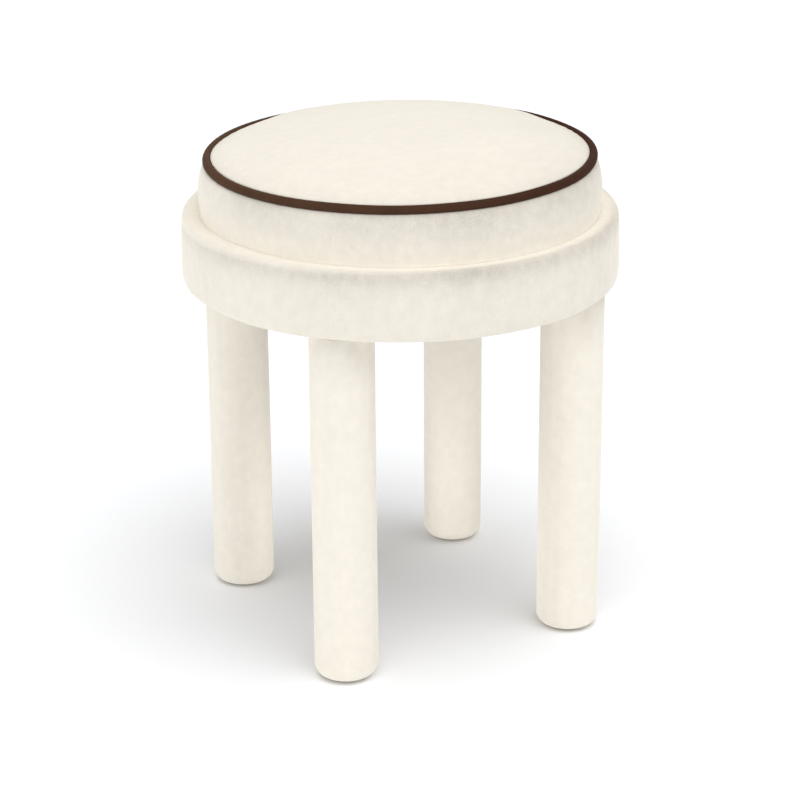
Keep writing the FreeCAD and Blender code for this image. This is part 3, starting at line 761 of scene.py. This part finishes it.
# Legs: straight padded posts with rounded feet
leg_hem = 15 * MM
head_round = 2 * MM
foot_round = 10 * MM
point_gap = 1 * MM
first_leg_seed = 41
for number, leg in enumerate(leg_names):
    low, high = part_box("leg_cover_" + leg)
    middle = ((low.x + high.x) / 2, (low.y + high.y) / 2)
    size = (high.x - low.x) / 2
    leg_turn = bearings_round(112, size, seam_bearing)
    leg_line = joined(
        straight((size - leg_hem, high.z), (size - head_round - point_gap, high.z), 2.0 * MM),
        arc(size - head_round, high.z - head_round, head_round, 90, 0, 7),
        straight((size, high.z - head_round - point_gap), (size, low.z + foot_round + point_gap), 5.0 * MM),
        arc(size - foot_round, low.z + foot_round, foot_round, 0, -90, 15),
        straight((size - foot_round - point_gap, low.z), (size - leg_hem, low.z), 2.0 * MM),
    )
    on_side = np.clip((leg_line[:, 0] - size + 6 * MM) / (6 * MM), 0, 1)[:, None]
    lumps = unevenness(leg_line, leg_turn, seed=first_leg_seed + number, lobes=4, reach=0.3)
    leg_swell = 0.22 * MM * on_side * lumps
    leg_swell = leg_swell + on_side * seam_groove(leg_turn, size, 0.7 * MM)
    # Painted shade at the top of each leg, under the drum
    leg_painted_shade = painted_shade_tone(leg_line, leg_turn, high.z - leg_line[:, 1:], (5 * MM, 0.5), (50 * MM, 0.0))
    cover = placed(
        skin("velvet_leg_" + leg, leg_line, velvet_depth, leg_turn, leg_swell, middle, painted_shade=leg_painted_shade),
        "velvet_cream", "leg_cover_" + leg,
    )
    sleeve = inset(leg_line, velvet_depth + layer_gap)
    off_hems = (sleeve[:, 1] < high.z - 2.0 * MM) & (sleeve[:, 0] > size - 12 * MM)
    padding = placed(
        skin("wadding_leg_" + leg, sleeve[off_hems], leg_wadding_depth, leg_turn, centre=middle),
        "foam_cream", "leg_wadding_" + leg,
    )

# Dust cloth, stapled under the drum and sagging a little between its staples.
# The sag is radii in metres with millimetres below the flat edge.
dust_sag = [(0.105, 0.5), (0.08, 1.4), (0.045, 2.3), (0.0, 2.7)]
dust_lap = 14 * MM
dust_staple_count = 16
dust_radius = dust_high.x
dust_turn = bearings_round(288, dust_radius)
dust_line = smooth_line(
    [(dust_radius, dust_low.z), (dust_radius - 12 * MM, dust_low.z - 0.05 * MM)]
    + [(radius, dust_low.z - sag * MM) for radius, sag in dust_sag],
    3.0 * MM,
)
dust_line[-1, 0] = 0.0
past_lap = lengths(dust_line) - dust_lap
staple_waves = np.cos(dust_staple_count * dust_turn)[None, :]
staple_pulls = np.exp(-(past_lap / (22 * MM)) ** 2)[:, None] * staple_waves
off_centre = np.clip(dust_line[:, 0] / 0.06, 0, 1)[:, None]
slack_cloth = unevenness(dust_line, dust_turn, seed=51, lobes=9, reach=0.09) * off_centre
dust_swell = 0.3 * MM * staple_pulls + 0.5 * MM * slack_cloth * np.clip(past_lap / (40 * MM), 0, 1)[:, None]
dust_cloth = placed(
    skin("dust_cloth", dust_line, dust_depth, dust_turn, dust_swell),
    "dust_cloth_black", "dust_cover",
)


# Floor, light and camera

def floor_look():
    """Matt white paper."""
    look = Look("white_floor", Specular_IOR_Level=0.0)
    tooth = look.noise(look.place, 300.0, 2.0)
    colour = look.colours(tooth, (0.958, 0.967, 0.985), (0.973, 0.982, 1.0))
    return look.finish(colour, tooth, 0.02, 0.1 * MM)


half_floor = 12.0
floor_mesh = bpy.data.meshes.new("floor")
floor_corners = [(x * half_floor, y * half_floor, 0.0) for x, y in ((-1, -1), (1, -1), (1, 1), (-1, 1))]
floor_mesh.from_pydata(floor_corners, [], [(0, 1, 2, 3)])
floor = bpy.data.objects.new("floor", floor_mesh)
floor_mesh.materials.append(floor_look())
scene = bpy.context.scene
scene.collection.objects.link(floor)
floor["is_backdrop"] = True

# An even dome, which the camera and the shiny pieces see as plain white
dome_level = 0.46
world = bpy.data.worlds.new("dome")
world.use_nodes = True
scene.world = world
sky = world.node_tree
dome = sky.nodes["Background"]
dome.inputs["Color"].default_value = (1.0, 1.0, 1.0, 1.0)
dome.inputs["Strength"].default_value = dome_level
white = sky.nodes.new("ShaderNodeBackground")
white.inputs["Color"].default_value = (1.0, 1.0, 1.0, 1.0)
ray = sky.nodes.new("ShaderNodeLightPath")
seen = ray.outputs["Is Camera Ray"]
for kind in ("Is Glossy Ray", "Is Transmission Ray"):
    either = sky.nodes.new("ShaderNodeMath")
    either.operation = "MAXIMUM"
    sky.links.new(seen, either.inputs[0])
    sky.links.new(ray.outputs[kind], either.inputs[1])
    seen = either.outputs[0]
choice = sky.nodes.new("ShaderNodeMixShader")
sky.links.new(seen, choice.inputs[0])
sky.links.new(dome.outputs[0], choice.inputs[1])
sky.links.new(white.outputs[0], choice.inputs[2])
sky.links.new(choice.outputs[0], sky.nodes["World Output"].inputs["Surface"])

# Wide soft lights: a key above the front right, and low fills which light the stool alone,
# so that the floor keeps its shadow. For each: its turn from the camera to the right, its height
# and its width in degrees, and its strength.
light_distance = 3.0
camera_bearing = math.radians(243.295)
stool = bpy.data.collections.new("stool")
scene.collection.children.link(stool)
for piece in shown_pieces():
    stool.objects.link(piece)
lights = {
    "key": (30.0, 74.0, 60.0, 2.15),
    "fill_front": (0.0, -20.0, 60.0, 0.58),
    "fill_left": (-75.0, -15.0, 90.0, 0.90),
    "fill_right": (80.0, -12.0, 90.0, 0.28),
    "fill_back": (180.0, -12.0, 90.0, 0.40),
}
for name, (turn, height, width, strength) in lights.items():
    light_data = bpy.data.lights.new(name, "SUN")
    light_data.energy = strength
    light_data.angle = math.radians(width)
    light = bpy.data.objects.new(name, light_data)
    bearing = camera_bearing + math.radians(turn)
    level = math.cos(math.radians(height))
    way = Vector((level * math.cos(bearing), level * math.sin(bearing), math.sin(math.radians(height))))
    light.location = light_distance * way
    light.rotation_euler = way.to_track_quat("Z", "Y").to_euler()
    if name != "key":
        light.light_linking.receiver_collection = stool
        light_data.use_shadow = False
    scene.collection.objects.link(light)

# The light that a bright floor throws back between the legs, on the stool alone as well
bounce_power = 0.25
bounce_size = 30 * MM
bounce_height = 70 * MM
bounce_data = bpy.data.lights.new("bounce", "POINT")
bounce_data.energy = bounce_power
bounce_data.shadow_soft_size = bounce_size
bounce_data.use_shadow = False
bounce = bpy.data.objects.new("bounce", bounce_data)
bounce.location = (0.0, 0.0, bounce_height)
bounce.visible_camera = False
bounce.light_linking.receiver_collection = stool
scene.collection.objects.link(bounce)

# The camera, fitted to the photograph: metres, radians, and millimetres for its lens and sensor
camera_distance = 2.24814
camera_height = 1.07203
camera_pitch = 0.36756
camera_pan = 0.000585
camera_roll = -0.0062
camera_lens = 115.29
camera_sensor = 36.0
camera_data = bpy.data.cameras.new("camera")
camera_data.sensor_width = camera_sensor
camera_data.lens = camera_lens
camera = bpy.data.objects.new("camera", camera_data)
camera_way = Vector((math.cos(camera_bearing), math.sin(camera_bearing), 0.0))
aim_bearing = camera_bearing + math.pi + camera_pan
aim_way = Vector((math.cos(aim_bearing), math.sin(aim_bearing), 0.0))
look_way = aim_way * math.cos(camera_pitch) - Vector((0.0, 0.0, math.sin(camera_pitch)))
turned_to = look_way.to_track_quat("-Z", "Y").to_matrix().to_4x4()
stand = Matrix.Translation(camera_distance * camera_way + Vector((0.0, 0.0, camera_height)))
camera.matrix_world = stand @ turned_to @ Matrix.Rotation(camera_roll, 4, "Z")
scene.collection.objects.link(camera)
scene.camera = camera

scene.view_settings.view_transform = "Standard"
